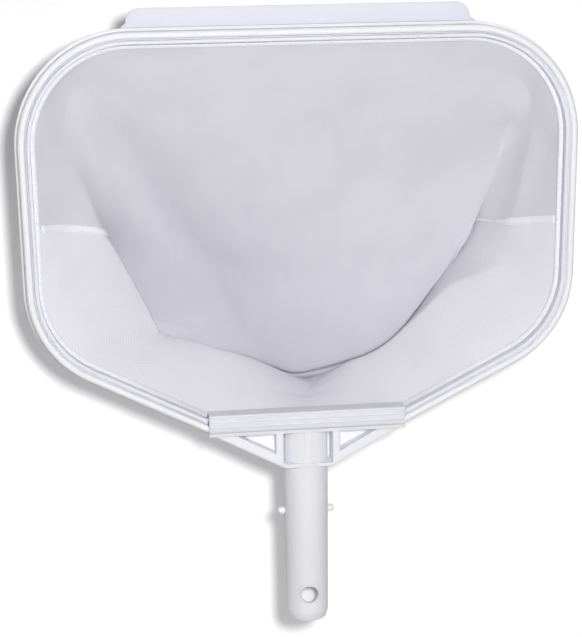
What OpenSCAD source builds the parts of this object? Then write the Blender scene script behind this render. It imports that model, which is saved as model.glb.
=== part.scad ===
// Pool leaf skimmer head: a moulded hoop on a pole spigot, with a fine net bag.
// The origin is on the spigot's axis at its shoulder, where the end of the pole stops.
// +Z is up out of the bag's mouth, +Y runs to the scoop lip and -Y along the spigot.

/* [Hoop] */
// Outside width of the hoop at its widest
hoop_w = 347; // [310:1:400]
// Length from the spigot's shoulder to the front of the hoop
hoop_len = 276; // [250:1:320]
// Inward lean of the hoop's sides towards the spigot, in degrees
side_lean = 0.9; // [0:0.1:3]
// Angle of the two rear beams to the hoop's width, in degrees
beam_angle = 26.8; // [22:0.2:31]
// Outside radius of the two front corners
front_r = 69; // [50:1:85]
// Outside radius of the two rear corners
rear_r = 65; // [50:1:80]
// Height of the rim's underside above the spigot's axis
rim_z = 0.5; // [0:0.5:2]

/* [Rim section] */
// Thickness of the rim's outer wall
wall_t = 4.4; // [3.6:0.1:5.4]
// Height of the rim's outer wall, from its underside to its round top
wall_h = 11; // [9:0.5:15]
// Thickness of the rim's base
base_t = 2.4; // [1.6:0.1:3.2]
// How far the base stands out past the wall, as a thin flange
flange_w = 1.8; // [0.8:0.1:3]
// How far the base reaches in from the wall, as a ledge for the net
ledge_w = 4.4; // [4:0.1:6]

/* [Retaining strip] */
// Width of the strip that holds the net on the ledge
strip_w = 2.5; // [2.2:0.1:3]
// Height of the strip above the net's hem
strip_h = 7; // [5:0.1:9]
// Gap between the rim's wall and the strip
strip_gap = 0.95; // [0.6:0.05:1.3]
// Diameter of the strip's pegs
peg_d = 2; // [1.6:0.1:2.2]
// Diameter of the flattened end of each peg under the rim
peg_head_d = 3.4; // [2.8:0.1:3.8]
// Thickness of the flattened end of each peg
peg_head_t = 0.8; // [0.5:0.1:1.2]

/* [Yoke] */
// Width of the yoke and its bar
yoke_w = 125; // [110:1:140]
// Height of the yoke's flat top above the spigot's axis
yoke_top = 15; // [15:0.5:19]
// Depth of the yoke's underside below the spigot's axis
yoke_drop = 4; // [2:0.5:8]
// Width of the two beams beside the yoke's pockets
beam_w = 6.2; // [5:0.1:8]
// Distance from the shoulder to the yoke's bar
bar_y = 23; // [20:0.5:26]
// Depth of the bar from back to front
bar_d = 10.5; // [10:0.5:13]
// Thickness of the bar's walls
bar_wall = 2.5; // [2:0.1:3.5]
// Width of each rib beside the spigot
rib_w = 4.8; // [3:0.1:6]
// Width of the thin rib on top of the spigot
fin_w = 4.5; // [3:0.1:6]
// Height of the thin rib above the spigot
fin_h = 0.5; // [0.3:0.1:0.8]
// Thickness of the web that closes the yoke's pockets
web_t = 2.5; // [1.5:0.1:3.5]
// Depth of the yoke's pockets below its flat top
pocket_d = 9.5; // [5:0.5:11]

/* [Clamp bar] */
// Thickness of the clamp bar's flat top
clamp_t = 3; // [2.5:0.1:4]
// Thickness of the clamp bar's front leg
leg_t = 2.3; // [1.6:0.1:3]
// Height of the three ridges on the clamp bar
ridge_h = 0.7; // [0.4:0.1:1]
// Width of the three ridges on the clamp bar
ridge_w = 1.6; // [1:0.1:2]
// Spacing of the three ridges
ridge_step = 3.4; // [2.8:0.1:3.8]
// Diameter of the clamp bar's four pegs
clamp_peg_d = 3; // [2.4:0.1:3.6]

/* [Spigot] */
// Outside diameter of the spigot
spigot_d = 28.6; // [27:0.1:29.2]
// Length of the spigot from its shoulder to its end
spigot_len = 105; // [95:1:130]
// Wall thickness of the spigot
spigot_wall = 2.6; // [2:0.1:3.2]
// Length of the spigot's straight seat, which steadies the pole's end
seat_len = 26; // [20:1:26]
// How much thinner the spigot gets from its seat to its end
taper = 1.2; // [0.6:0.1:1.4]
// Length of the lead-in chamfer at the very end
lead_len = 5; // [3:0.5:7]
// Depth of the lead-in chamfer
lead_in = 1.4; // [0.8:0.1:1.6]
// Outside diameter of the collar that the pole stops against
collar_d = 31.4; // [30.5:0.1:33]
// Length of the collar
collar_len = 2.5; // [2:0.1:4]
// Diameter of the hole across the spigot's end
cross_d = 11; // [9:0.1:12]
// Distance of the cross hole from the shoulder
cross_y = 86.5; // [84:0.5:90]

/* [Spring clip] */
// Distance of the two buttons from the shoulder
button_y = 32.6; // [30:0.1:36]
// Diameter of each button
button_d = 5; // [4:0.1:5.6]
// How far each button stands out of the spigot
button_out = 4.1; // [3:0.1:4.6]
// Diameter of the spigot's holes for the buttons
button_hole_d = 7.2; // [7:0.1:8]
// Width of the clip's strip
clip_w = 7; // [6:0.1:8]
// Thickness of the clip's strip
clip_t = 1.6; // [1.4:0.1:2]
// Distance of the clip's bend from the shoulder
bend_y = 70; // [68:0.5:72]
// Radius of the clip's bend, to the middle of the strip
bend_r = 7; // [6:0.1:7.5]
// Room between the clip's strip and the spigot's bore at rest
clip_room = 1.1; // [0.9:0.1:1.4]
// Diameter of the clip's flexing knuckles
knuckle_d = 2.6; // [2.4:0.1:3]
// Diameter of the knuckle's pin
pin_d = 1.4; // [1:0.1:1.5]

/* [Scoop lip] */
// Width of the lip where it leaves the rim
lip_w = 219; // [190:1:240]
// How far the lip reaches in front of the hoop
lip_out = 13.4; // [9:0.1:18]
// Taper of each end of the lip towards its front edge
lip_taper = 3.5; // [0:0.5:8]
// Corner radius of the lip
lip_r = 9; // [4:0.5:9]
// Thickness of the lip under the rim
lip_t = 2; // [1.5:0.1:3]
// Thickness of the lip's front edge
lip_edge_t = 1; // [0.8:0.1:1.4]
// Diameter of the lip's studs
stud_d = 2.6; // [2:0.1:2.8]
// Length of the lip's studs in the rim
stud_len = 4; // [3:0.5:6]
// Spacing of the lip's five studs
stud_step = 44; // [36:1:48]

/* [Net bag] */
// Drop of the bag from its hem to its floor
bag_depth = 104; // [90:1:140]
// Thickness of the net's solid
net_t = 1.2; // [1:0.1:1.6]
// Thickness of the net's hem
hem_t = 1; // [0.8:0.1:1.2]
// How far the hem stands in past the ledge
hem_over = 1.5; // [1.4:0.1:2]
// Distance of the side seams from the shoulder, at the rim
seam_y = 154; // [140:1:165]
// Width of the side seams
seam_w = 6; // [4:0.5:7]
// Thickness of the side seams
seam_t = 0.9; // [0.6:0.1:1.4]
// Distance of the bottom seam's ends from the shoulder
floor_y = 64; // [60:1:70]
// How far the bottom seam bows back in its middle
floor_bow = 20; // [16:1:22]
// Length of the bottom seam, from side to side
floor_w = 172; // [160:1:184]
// Length of the bottom seam's tape, end to end
floor_tape_w = 136; // [110:1:140]

/* [Hidden] */

// Clearances and small allowances
fit = 0.1;
pin_fit = 0.05;
cut = 1;
hem_gap = 0.3;
net_gap = 0.2;
sew_gap = 0.1;
tape_gap = 0.8;
leaf_gap = 0.2;
end_rim = 1;

// Colours of the plastic and the net
plastic = [0.93, 0.93, 0.95];
plastic_cool = [0.9, 0.91, 0.94];
net_white = [0.86, 0.86, 0.89];
thread_white = [0.93, 0.93, 0.94];

$fn = 64;

// The hoop's outline: an outward normal is an angle, and a line is its distance along that normal
function dir(a) = [cos(a), sin(a)];
side_n = -side_lean;
beam_n = beam_angle - 90;
shoulder_x = spigot_d / 2;
front_c = [hoop_w / 2 - front_r, hoop_len - front_r];
side_dist = dir(side_n) * front_c + front_r;
beam_dist = dir(beam_n) * [shoulder_x, 0];
// Centre of the circle that touches both the side and the beam from inside
function meet(a1, d1, a2, d2) =
    let (det = cos(a1) * sin(a2) - sin(a1) * cos(a2))
    [(d1 * sin(a2) - d2 * sin(a1)) / det, (cos(a1) * d2 - cos(a2) * d1) / det];
rear_c = meet(side_n, side_dist - rear_r, beam_n, beam_dist - rear_r);
front_start = [0, hoop_len];
side_start = front_c + front_r * dir(side_n);
side_len = norm(rear_c + rear_r * dir(side_n) - side_start);
beam_start = rear_c + rear_r * dir(beam_n);
yoke_x = yoke_w / 2;
// The beam runs a little way into the yoke
beam_len = (beam_start.x - yoke_x) / cos(beam_angle) + wall_t;

// Heights of the layers of the rim
wall_top = rim_z + wall_h;
hem_z = rim_z + base_t;
strip_z = hem_z + hem_t;
// Insets from the outside face of the rim's wall
ledge_in = wall_t + ledge_w;
strip_in = wall_t + strip_gap;
strip_mid = strip_in + strip_w / 2;
net_in = ledge_in + net_gap;
// The lip stops short of the flattened pegs
lip_in = strip_mid - peg_head_d / 2 - hem_gap;

// The yoke's own lines
bar_front = bar_y + bar_d;
bar_top = yoke_top - clamp_t;
web_z = yoke_top - pocket_d - web_t;
rib_in = collar_d / 2;
rib_out = rib_in + rib_w;
yoke_edge_y = (yoke_x - shoulder_x) * tan(beam_angle);
beam_wall_y = beam_w / cos(beam_angle);
end_room = 0.4;

// The spigot's inside and the clip in it
spigot_r = spigot_d / 2;
bore_r = spigot_r - spigot_wall;
tip_d = spigot_d - taper;
lead_d = max(tip_d - 2 * lead_in, 2 * bore_r + end_rim);
clip_x = sqrt(pow(bore_r, 2) - pow(clip_w / 2, 2)) - clip_room - clip_t / 2;
knuckle_y = bend_y - knuckle_d / 2 - hem_gap;
arm_len = norm([clip_x - bend_r, knuckle_y - button_y]);
arm_lean = atan((clip_x - bend_r) / (knuckle_y - button_y));
leaf_w = (clip_w - 2 * leaf_gap) / 3;

// Anything that follows the rim: a chain of straights and corners, where each starts at the end of
// the one before. The child is the section, with X the distance out from the wall's outside face and
// Y the height. The straights run a little way into the corners, and are a hair slimmer there.
stretches = [
    [front_c.x, front_r, 90 - side_n],
    [side_len, rear_r, side_n - beam_n],
    [beam_len, 0, 0]
];
lap = 0.5;
slim = 0.01;

module rim_chain(i = 0) {
    len = stretches[i][0];
    r = stretches[i][1];
    turn = stretches[i][2];
    back = i == 0 ? 0 : lap;
    translate([0, back, 0])
        rotate([90, 0, 0])
            linear_extrude(back + len + lap)
                let ($slim = slim)
                    children();
    if (i < len(stretches) - 1)
        translate([-r, -len, 0])
            rotate([0, 0, -turn]) {
                rotate_extrude(angle = turn)
                    translate([r, 0])
                        let ($slim = 0)
                            children();
                translate([r, 0, 0])
                    rim_chain(i + 1)
                        children();
            }
}

module along_rim() {
    for (side = [0, 1])
        mirror([side, 0, 0])
            translate([0, hoop_len, 0])
                rotate([0, 0, 90])
                    rim_chain()
                        children();
}

// An upright bar, seen end on, from an inset inwards
module bar(inset, w, low, high) {
    translate([-inset - w + $slim, low + $slim])
        square([w - 2 * $slim, high - low - 2 * $slim]);
}

// The same with a round top
module round_bar(inset, w, low, high) {
    bar(inset, w, low, high - w / 2 + $slim);
    translate([-inset - w / 2, high - w / 2])
        circle(d = w - 2 * $slim);
}

// The rim's wall on its base, with the flange outside and the ledge inside
module rim_section() {
    round_bar(0, wall_t, rim_z, wall_top);
    bar(-flange_w, flange_w + ledge_in, rim_z, rim_z + base_t);
}

// Where the retaining strip's pegs stand, as a place and an outward normal on the right half.
// Along a straight, the place is a share of its length.
front_pegs = [0.27, 0.8];
side_pegs = [0.1, 0.75];
beam_pegs = [0.55];
function on_straight(start, normal, s) = [start + s * dir(normal - 90), normal];
function on_arc(centre, r, a) = [centre + r * dir(a), a];
peg_spots = concat(
    [for (share = front_pegs) on_straight(front_start, 90, front_c.x * share)],
    [on_arc(front_c, front_r, 45)],
    [for (share = side_pegs) on_straight(side_start, side_n, side_len * share)],
    [on_arc(rear_c, rear_r, (side_n + beam_n) / 2)],
    [for (share = beam_pegs) on_straight(beam_start, beam_n, beam_len * share)]
);

module at_pegs() {
    for (side = [0, 1], spot = peg_spots)
        mirror([side, 0, 0])
            translate([spot[0].x, spot[0].y, 0])
                rotate([0, 0, spot[1]])
                    translate([-strip_mid, 0, 0])
                        children();
}

module at_studs() {
    for (i = [-2:2])
        translate([i * stud_step, hoop_len - wall_t / 2, 0])
            children();
}

// The clamp bar's pegs, as shares of the way from the middle to the yoke's end
clamp_pegs = [-0.72, -0.25, 0.25, 0.72];
module at_clamp_pegs() {
    for (share = clamp_pegs)
        translate([yoke_x * share, bar_y + bar_d / 2, 0])
            children();
}

// Anything along the spigot: the child's +Z runs from the shoulder to the spigot's end
module along_spigot() {
    rotate([90, 0, 0])
        children();
}

// Keeps what lies past the yoke's ends
module past_yoke(room) {
    difference() {
        children();
        translate([-yoke_x - room, -cut, rim_z - wall_h])
            cube([yoke_w + 2 * room, bar_front + ledge_in, 3 * wall_h]);
    }
}

// The yoke's outline: a shallow gable over the spigot's shoulder
module yoke_outline() {
    polygon([[-yoke_x, bar_front], [-yoke_x, yoke_edge_y], [-shoulder_x, 0], [shoulder_x, 0],
        [yoke_x, yoke_edge_y], [yoke_x, bar_front]]);
}

// The three-sided pocket between a rib, the bar and a beam
module pocket_outline() {
    top_x = shoulder_x + (bar_y - beam_wall_y) / tan(beam_angle);
    low_y = (rib_out - shoulder_x) * tan(beam_angle) + beam_wall_y;
    polygon([[rib_out, bar_y], [rib_out, low_y], [top_x, bar_y]]);
}

module pocket(low, high) {
    for (side = [0, 1])
        mirror([side, 0, 0])
            translate([0, 0, low])
                linear_extrude(high - low)
                    pocket_outline();
}

// The yoke in front view: its top rises from the rim to the ribs
module yoke_rise() {
    polygon([[-yoke_x, -yoke_drop], [yoke_x, -yoke_drop], [yoke_x, wall_top], [rib_out, yoke_top],
        [-rib_out, yoke_top], [-yoke_x, wall_top]]);
}

module yoke() {
    difference() {
        union() {
            intersection() {
                translate([0, 0, -yoke_drop])
                    linear_extrude(yoke_top + yoke_drop)
                        yoke_outline();
                translate([0, bar_front, 0])
                    rotate([90, 0, 0])
                        linear_extrude(bar_front + cut)
                            yoke_rise();
            }
            translate([-yoke_x, bar_y, -yoke_drop])
                cube([yoke_w, bar_d, yoke_top + yoke_drop]);
        }
        // Pockets above and below the web
        pocket(web_z + web_t, yoke_top + cut);
        pocket(-yoke_drop - cut, web_z);
        // The bay over the spigot
        translate([-rib_in, collar_len, 0])
            cube([2 * rib_in, bar_y - collar_len, yoke_top + cut]);
        // Seat of the clamp bar
        translate([-yoke_x - cut, bar_y + bar_wall, bar_top])
            cube([yoke_w + 2 * cut, bar_d, clamp_t + cut]);
        // Hollow of the bar, open below
        for (side = [0, 1])
            mirror([side, 0, 0])
                translate([bar_wall / 2, bar_y + bar_wall, -yoke_drop - cut])
                    cube([yoke_x - 1.5 * bar_wall, bar_d - 2 * bar_wall,
                        bar_top - bar_wall + yoke_drop + cut]);
    }
}

module spigot_outside() {
    along_spigot() {
        translate([0, 0, -bar_y - cut])
            cylinder(h = bar_y + cut + seat_len, d = spigot_d);
        translate([0, 0, seat_len])
            cylinder(h = spigot_len - lead_len - seat_len, d1 = spigot_d, d2 = tip_d);
        translate([0, 0, spigot_len - lead_len])
            cylinder(h = lead_len, d1 = tip_d, d2 = lead_d);
        translate([0, 0, -collar_len])
            cylinder(h = collar_len, d = collar_d);
    }
}

module frame() {
    color(plastic)
        difference() {
            union() {
                along_rim()
                    rim_section();
                yoke();
                spigot_outside();
                // Thin rib on the spigot, from the collar to the bar
                translate([-fin_w / 2, 0, 0])
                    cube([fin_w, bar_y + cut, spigot_r + fin_h]);
            }
            along_spigot() {
                // Bore, closed by the bar
                translate([0, 0, bar_wall - bar_y])
                    cylinder(h = bar_y + spigot_len, r = bore_r);
                // Holes for the two buttons
                translate([0, 0, button_y])
                    rotate([0, 90, 0])
                        cylinder(h = collar_d, d = button_hole_d, center = true);
                // Hole across the end
                translate([0, 0, cross_y])
                    rotate([90, 0, 0])
                        cylinder(h = collar_d, d = cross_d, center = true);
            }
            at_pegs()
                translate([0, 0, rim_z - cut])
                    cylinder(h = base_t + 2 * cut, d = peg_d + 2 * fit);
            at_studs()
                translate([0, 0, rim_z - cut])
                    cylinder(h = cut + stud_len + fit, d = stud_d + 2 * fit);
            at_clamp_pegs()
                translate([0, 0, bar_top - bar_wall - cut])
                    cylinder(h = bar_wall + 2 * cut, d = clamp_peg_d + 2 * fit);
        }
}

module retaining_strip() {
    color(plastic_cool) {
        past_yoke(end_room)
            along_rim()
                round_bar(strip_in, strip_w, strip_z, strip_z + strip_h);
        at_pegs() {
            translate([0, 0, rim_z])
                cylinder(h = strip_z + strip_w - rim_z, d = peg_d);
            translate([0, 0, rim_z - peg_head_t])
                cylinder(h = peg_head_t, d = peg_head_d);
        }
    }
}

module clamp_bar() {
    leg_y = bar_front + hem_t + fit;
    front_y = leg_y + leg_t;
    back_y = bar_y + bar_wall + fit;
    color(plastic) {
        translate([-yoke_x, back_y, bar_top])
            cube([yoke_w, front_y - back_y, clamp_t]);
        translate([-yoke_x, leg_y, hem_z])
            cube([yoke_w, leg_t, bar_top + clamp_t - hem_z]);
        for (i = [0:2])
            translate([-yoke_x, front_y - ridge_w / 2 - i * ridge_step, yoke_top + ridge_h - ridge_w / 2])
                rotate([0, 90, 0])
                    cylinder(h = yoke_w, d = ridge_w);
        at_clamp_pegs()
            translate([0, 0, bar_top - bar_wall - cut])
                cylinder(h = bar_wall + 2 * cut, d = clamp_peg_d);
    }
}

// The lip's plan, with round front corners
module lip_outline() {
    front_y = hoop_len + lip_out;
    back_y = hoop_len - lip_in;
    half_back = lip_w / 2;
    half_front = half_back - lip_taper;
    corner_x = half_front - lip_r;
    polygon([[-half_back, back_y], [half_back, back_y], [half_back, hoop_len + flange_w],
        [half_front, front_y - lip_r], [corner_x, front_y], [-corner_x, front_y],
        [-half_front, front_y - lip_r], [-half_back, hoop_len + flange_w]]);
    for (x = [-corner_x, corner_x])
        translate([x, front_y - lip_r])
            circle(r = lip_r);
}

module scoop_lip() {
    back_y = hoop_len - lip_in - cut;
    slope_y = hoop_len + flange_w;
    front_y = hoop_len + lip_out + cut;
    color(plastic) {
        intersection() {
            translate([0, 0, rim_z - 2 * lip_t])
                linear_extrude(2 * lip_t)
                    lip_outline();
            translate([-lip_w, 0, 0])
                rotate([90, 0, 90])
                    linear_extrude(2 * lip_w)
                        polygon([[back_y, rim_z], [back_y, rim_z - lip_t], [slope_y, rim_z - lip_t],
                            [front_y, rim_z - lip_t], [front_y, rim_z - lip_t + lip_edge_t],
                            [slope_y, rim_z]]);
        }
        at_studs()
            translate([0, 0, rim_z - lip_t / 2])
                cylinder(h = lip_t / 2 + stud_len, d = stud_d);
    }
}

module net_hem() {
    hem_in = wall_t + hem_gap;
    hem_w = ledge_in + hem_over - hem_in;
    bar_hem_y = bar_front + fit / 2;
    // Where the rim's hem ends beside the yoke, and the foot that joins it to the bar's hem
    foot_x = yoke_x + end_room;
    rim_hem_y = (foot_x - shoulder_x) * tan(beam_angle) + (hem_in + hem_w / 2) / cos(beam_angle);
    foot_low = min(bar_hem_y, rim_hem_y);
    foot_high = max(bar_hem_y, rim_hem_y) + hem_t;
    color(thread_white) {
        difference() {
            past_yoke(end_room)
                along_rim()
                    bar(hem_in, hem_w, hem_z, hem_z + hem_t);
            at_pegs()
                translate([0, 0, rim_z])
                    cylinder(h = wall_h, d = peg_d + 2 * fit);
        }
        // The hem stands upright where the clamp bar holds it
        translate([-yoke_x, bar_hem_y, hem_z])
            cube([yoke_w, hem_t, bar_top - hem_z]);
        translate([-foot_x - hem_t, bar_hem_y, hem_z])
            cube([2 * (foot_x + hem_t), hem_t, hem_t]);
        for (side = [0, 1])
            mirror([side, 0, 0])
                translate([foot_x, foot_low, hem_z])
                    cube([hem_t, foot_high - foot_low, hem_t]);
    }
}

// The net's edge, as a list of points on the right half, for a given inset from the rim's outside
side_steps = 4;
arc_steps = 8;
front_steps = 5;
rear_steps = 3;
bar_steps = 4;
function side_x(y, inset) = (side_dist - inset - y * sin(side_n)) / cos(side_n);
function beam_x(y, inset) = (beam_dist - inset - y * sin(beam_n)) / cos(beam_n);
function front_half(inset) = concat(
    [for (i = [0:side_steps])
        let (y = seam_y + (side_start.y - seam_y) * i / side_steps)
        [side_x(y, inset), y]],
    [for (i = [1:arc_steps])
        front_c + (front_r - inset) * dir(side_n + (90 - side_n) * i / arc_steps)],
    [for (i = [1:front_steps])
        [front_c.x * (1 - i / front_steps), hoop_len - inset]]);
function rear_half(inset) =
    let (rear_y = bar_front + inset - net_in + net_gap,
        side_end = rear_c + (rear_r - inset) * dir(side_n),
        beam_from = rear_c + (rear_r - inset) * dir(beam_n),
        corner = [beam_x(rear_y, inset), rear_y],
        start_y = seam_y - sew_gap)
    concat(
        [for (i = [0:side_steps])
            let (y = start_y + (side_end.y - start_y) * i / side_steps)
            [side_x(y, inset), y]],
        [for (i = [1:arc_steps])
            rear_c + (rear_r - inset) * dir(side_n + (beam_n - side_n) * i / arc_steps)],
        [for (i = [1:rear_steps])
            beam_from + (corner - beam_from) * i / rear_steps],
        [for (i = [1:bar_steps])
            [corner.x * (1 - i / bar_steps), rear_y]]);
function mirrored(half) = [for (i = [len(half) - 1:-1:0]) [-half[i].x, half[i].y]];
function tail(list) = [for (i = [1:len(list) - 1]) list[i]];
// Both edges run the same way round: up the right, and down the left
function front_edge(inset) = concat(front_half(inset), tail(mirrored(front_half(inset))));
function rear_edge(inset) =
    let (half = rear_half(inset))
    concat([for (i = [0:len(half) - 1]) [-half[i].x, half[i].y]],
        tail([for (i = [len(half) - 1:-1:0]) half[i]]));

// The bag's main lines, from the right round the front to the left, or from the left round the back to
// the right. A point is [x, y, z] in hundredths of the hoop's half width, of the way from the bottom
// seam's ends to the hoop's front, and of the bag's depth.
function guide(p) = [p.x / 100 * hoop_w / 2, floor_y + p.y / 100 * (hoop_len - floor_y),
    hem_z - p.z / 100 * bag_depth];
function guides(list) = [for (p = list) guide(p)];
front_fold = [[87, 68, 18], [58, 88, 8], [0, 88, 6], [-58, 88, 9], [-82, 66, 21]];
front_foot = [[82, 66, 39], [52, 67, 22], [0, 67, 20], [-48, 67, 27], [-65, 56, 46]];
front_slope = [[63, 33, 52], [36, 35, 44], [0, 35, 46], [-29, 35, 58], [-39, 31, 74]];
front_crest = [[48, 10, 60], [32, -2, 63], [6, -8, 76], [-10, -3, 85], [-20, 0, 92]];
rear_ledge = [[-58, 21, 27], [-50, 8, 28], [-29, 3, 28], [5, -10, 35], [31, 0, 29], [58, 19, 28],
    [78, 28, 25]];
rear_wall = [[-71, 8, 82], [-56, -5, 82], [-32, -10, 83], [6, -15, 86], [36, -8, 82], [61, 13, 66],
    [68, 25, 60]];
rear_foot = [[-59, 2, 98], [-47, -8, 97], [-27, -12, 95], [6, -16, 94], [33, -10, 94], [56, 6, 92],
    [65, 15, 87]];
rear_floor = [[-56, -2, 99], [-45, -7, 99], [-26, -10, 100], [5, -13, 100], [27, -10, 100],
    [43, -9, 98], [56, -1, 98]];
seam_right = [[80, 39, 24], [71, 34, 60], [63, 23, 82], [58, 10, 94]];
seam_left = [[-70, 40, 24], [-73, 25, 80], [-62, 12, 95], [-55, 6, 99]];
// Where the panels meet the bottom seam, as shares of its half length
front_ends = [1, 0.79, 0.47, 0.05, -0.3, -0.6, -1];
rear_ends = [-1, -0.84, -0.63, -0.33, 0.07, 0.4, 0.72, 0.92, 1];

// The rings of points that carry those lines, between the hem and the bottom seam
ring_marks = [0, 2, 5, 8, 10, 11, 12];
rings = 12;
front_marks = marks([0, side_steps, side_steps + arc_steps, side_steps + arc_steps + front_steps]);
rear_marks = marks([0, side_steps, side_steps + arc_steps, side_steps + arc_steps + rear_steps,
    side_steps + arc_steps + rear_steps + bar_steps]);
function marks(half) =
    let (last = len(half) - 1)
    concat(half, [for (i = [last - 1:-1:0]) 2 * half[last] - half[i]]);

// A smooth line through points that stand at marks, at any place between the marks
ease = 0.6;
function slope(points, at, i) =
    let (a = max(i - 1, 0), b = min(i + 1, len(at) - 1))
    ease * (points[b] - points[a]) / (at[b] - at[a]);
function smooth(points, at, t) =
    let (i = max([for (n = [0:len(at) - 2]) if (at[n] <= t) n]),
        step = at[i + 1] - at[i],
        f = (t - at[i]) / step)
    (2 * pow(f, 3) - 3 * pow(f, 2) + 1) * points[i]
        + (pow(f, 3) - 2 * pow(f, 2) + f) * step * slope(points, at, i)
        + (3 * pow(f, 2) - 2 * pow(f, 3)) * points[i + 1]
        + (pow(f, 3) - pow(f, 2)) * step * slope(points, at, i + 1);

// The bottom seam bows back, and the net lies flat beside it
floor_z = hem_z - bag_depth;
function bottom(share, side) = [share * floor_w / 2,
    floor_y - floor_bow * (1 - pow(share, 2)) + side, floor_z];
function seam_line(side) =
    let (top = [side * side_x(seam_y, net_in), seam_y, hem_z],
        low = guides(side > 0 ? seam_right : seam_left),
        end = bottom(side, 0))
    concat([top], low, [(low[3] + end) / 2, end]);

// Beside the bottom seam a panel is flat, and draws in to the side seams at its ends
corner_power = 16;
function beside(share, side) =
    let (draw = pow(share, corner_power), seam = seam_line(sign(share)))
    bottom(share, side * (1 - draw)) + draw * (seam[5] - seam[6]);

// Each main line of a panel runs from one side seam to the other
function line_from(side, i, list) = concat([seam_line(side)[i]], guides(list), [seam_line(-side)[i]]);
front_lines = [
    line_from(1, 1, front_fold),
    line_from(1, 2, front_foot),
    line_from(1, 3, front_slope),
    line_from(1, 4, front_crest)
];
rear_lines = [
    line_from(-1, 1, rear_ledge),
    line_from(-1, 2, rear_wall),
    line_from(-1, 3, rear_foot),
    line_from(-1, 4, rear_floor)
];
function panel_grid(edge, lines, ends, at, side) =
    let (columns = [for (k = [0:len(edge) - 1])
        let (share = smooth(ends, at, k))
        concat([[edge[k].x, edge[k].y, hem_z]], [for (line = lines) smooth(line, at, k)],
            [beside(share, side * seam_w), bottom(share, side * hem_gap)])])
    [for (j = [0:rings]) [for (column = columns) smooth(column, ring_marks, j)]];

front_grid = panel_grid(front_edge(net_in), front_lines, front_ends, front_marks, 1);
rear_grid = panel_grid(rear_edge(net_in), rear_lines, rear_ends, rear_marks, -1);

// Across a side seam, square to it, from the rear panel to the front one: the side is 1 on the right
function unit(v) = v / norm(v);
function down_line(grid, j, k) = grid[min(j + 1, rings)][k] - grid[max(j - 1, 0)][k];
function square_to(v, line) = unit(v - (v * unit(line)) * unit(line));
function over_seam(j, side) =
    let (k = side > 0 ? 0 : len(front_grid[0]) - 1,
        l = side > 0 ? len(rear_grid[0]) - 1 : 0,
        line = down_line(front_grid, j, k))
    unit(square_to(front_grid[j][abs(k - 1)] - front_grid[j][k], line)
        - square_to(rear_grid[j][abs(l - 1)] - rear_grid[j][l], line));

// The net's inner face. Along the side seams, both panels' edges lean alike.
function inward(grid, j, k) =
    let (m = len(grid[0]) - 1,
        side = sign(grid[0][k].x),
        across = k == 0 || k == m ? side * over_seam(j, side) : grid[j][k + 1] - grid[j][k - 1])
    j == rings ? [0, 0, 1] : unit(cross(across, down_line(grid, j, k)));
function inner_grid(grid, edge) = [for (j = [0:rings]) [for (k = [0:len(edge) - 1])
    j == 0 ? [edge[k].x, edge[k].y, hem_z] : grid[j][k] + net_t * inward(grid, j, k)]];
front_inner = inner_grid(front_grid, front_edge(net_in + net_t));
rear_inner = inner_grid(rear_grid, rear_edge(net_in + net_t));
// The rear panel stops short of the front one along the side seams
function apart(grid) =
    let (m = len(grid[0]) - 1)
    [for (j = [0:rings]) [for (k = [0:m])
        grid[j][k] - (j > 0 && (k == 0 || k == m) ? hem_gap : 0) * over_seam(max(j, 1), sign(grid[0][k].x))]];

// A closed shell between two grids of points, with triangles all round
module net_shell(outer, inner) {
    m = len(outer[0]);
    n = len(outer);
    count = n * m;
    function at(j, k) = j * m + k;
    function four(a, b, c, d) = [[a, b, c], [a, c, d]];
    points = concat([for (row = outer, p = row) p], [for (row = inner, p = row) p]);
    faces = concat(
        [for (j = [0:n - 2], k = [0:m - 2])
            each four(at(j, k), at(j, k + 1), at(j + 1, k + 1), at(j + 1, k))],
        [for (j = [0:n - 2], k = [0:m - 2])
            each four(count + at(j + 1, k), count + at(j + 1, k + 1),
                count + at(j, k + 1), count + at(j, k))],
        [for (k = [0:m - 2])
            each four(at(0, k + 1), at(0, k), count + at(0, k), count + at(0, k + 1))],
        [for (k = [0:m - 2])
            each four(at(n - 1, k), at(n - 1, k + 1), count + at(n - 1, k + 1), count + at(n - 1, k))],
        [for (j = [0:n - 2])
            each four(at(j, 0), at(j + 1, 0), count + at(j + 1, 0), count + at(j, 0))],
        [for (j = [0:n - 2])
            each four(at(j + 1, m - 1), at(j, m - 1), count + at(j, m - 1), count + at(j + 1, m - 1))]);
    polyhedron(points, faces);
}

module net_front_panel() {
    color(net_white)
        net_shell(front_grid, front_inner);
}

module net_rear_panel() {
    color(net_white)
        net_shell(apart(rear_grid), apart(rear_inner));
}

// A side seam is a tape on the inside of the bag, over both panels' edges, from the hem to the floor
seam_rings = 10;
module side_seam(k, l) {
    function toward(from, to) = unit(to - from) * seam_w / 2;
    corners = [for (j = [0:seam_rings])
        let (mid = front_inner[j][k],
            up = j == 0 ? [-sign(mid.x), 0, 0] : inward(front_grid, j, k),
            low = mid + tape_gap * up,
            front = toward(mid, front_inner[j][abs(k - 1)]),
            rear = toward(mid, rear_inner[j][abs(l - 1)]))
        each [low + rear, low, low + front, low + front + seam_t * up, low + seam_t * up,
            low + rear + seam_t * up]];
    sides = [for (j = [0:seam_rings - 1], i = [0:5])
        let (a = 6 * j + i, b = 6 * j + (i + 1) % 6)
        each [[a, b, b + 6], [a, b + 6, a + 6]]];
    last = 6 * seam_rings;
    start_end = [[0, 5, 1], [1, 5, 4], [1, 4, 2], [2, 4, 3]];
    far_end = [for (face = start_end) [last + face[0], last + face[2], last + face[1]]];
    faces = concat(sides, start_end, far_end);
    polyhedron(corners, k == 0 ? faces : [for (face = faces) [face[0], face[2], face[1]]]);
}

module side_seam_right() {
    color(thread_white)
        side_seam(0, len(rear_grid[0]) - 1);
}

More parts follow.
